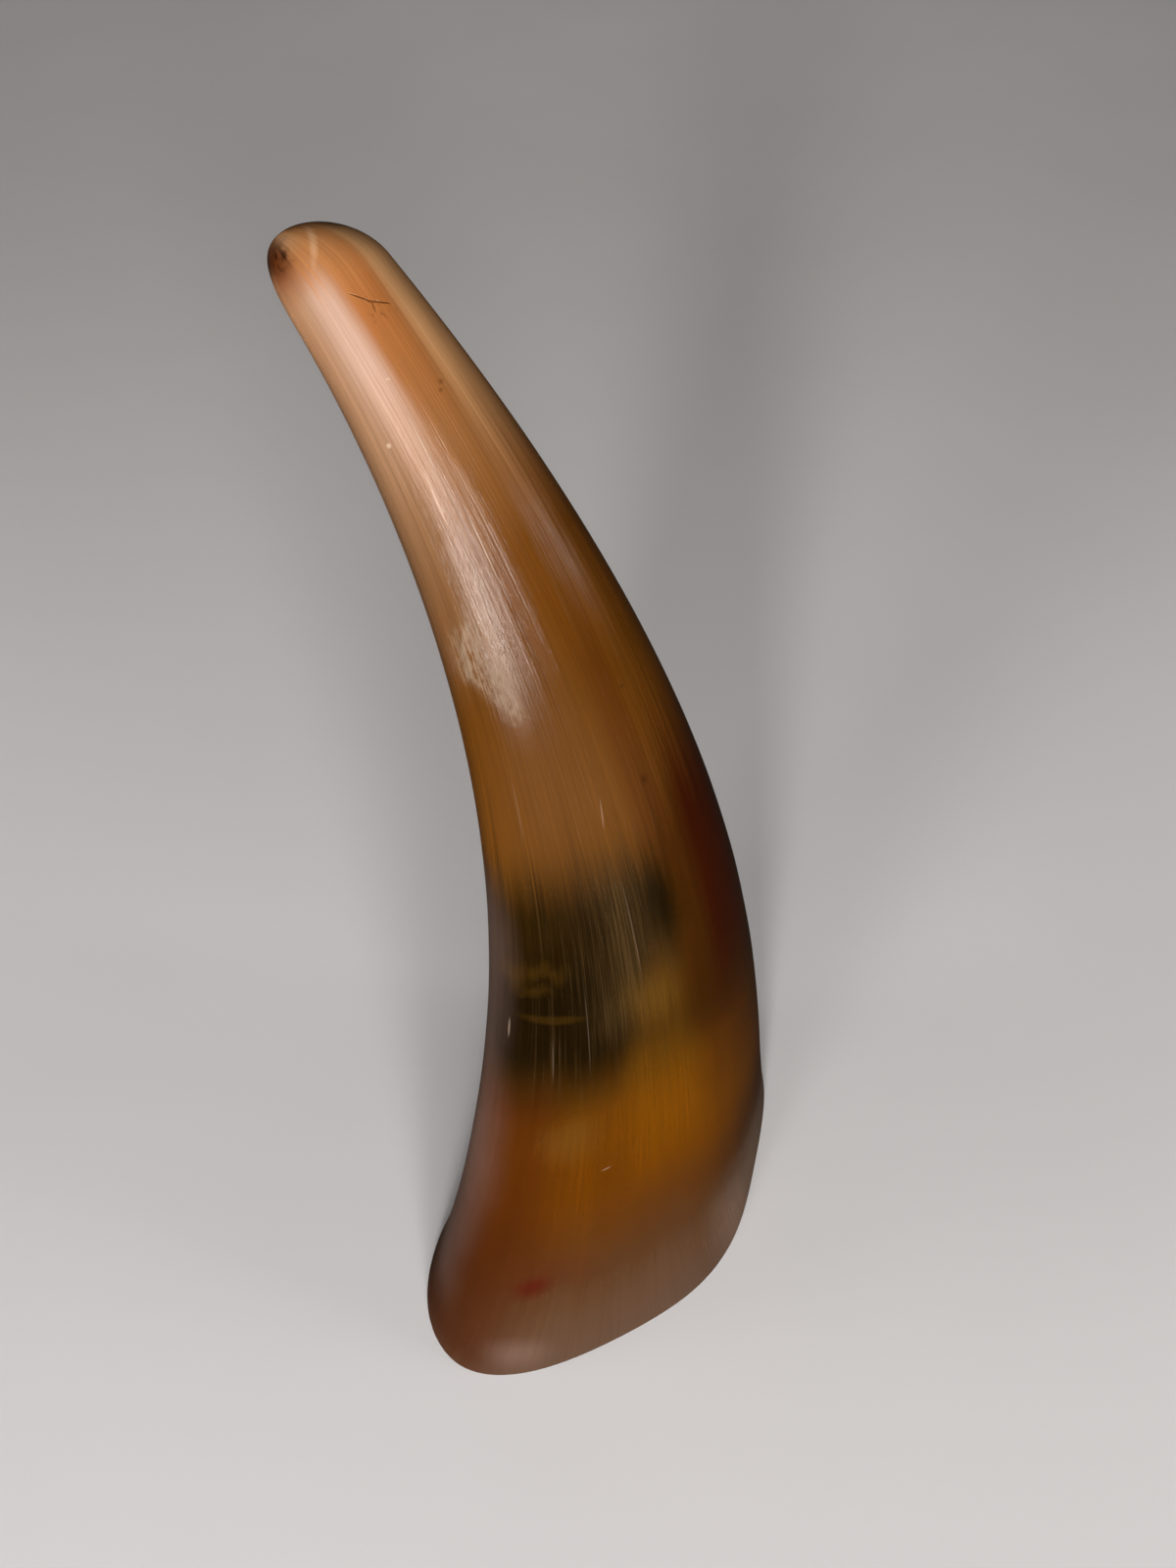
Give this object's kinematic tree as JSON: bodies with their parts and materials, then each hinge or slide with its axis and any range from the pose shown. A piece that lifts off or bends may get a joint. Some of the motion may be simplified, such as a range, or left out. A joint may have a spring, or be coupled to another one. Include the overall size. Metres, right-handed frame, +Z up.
{
  "type": "buffalo horn",
  "caption": "Polished hollow buffalo horn, a curved tapering cone that stands upright on its flat sawn base.",
  "frame": {"origin": "on the surface the horn stands on, below the middle of its bounding box", "axes": "+Z up from the sawn base; the tip bends over towards -X and +Y; -Y is the side the horn is usually seen from"},
  "size_m": [0.0896, 0.0946, 0.24],
  "materials": {
    "horn": "polished natural horn, translucent brown and amber with a dark green-black patch and fine lengthwise streaks"
  },
  "bodies": {
    "root": {"horn": "horn"}
  },
  "joints": []
}
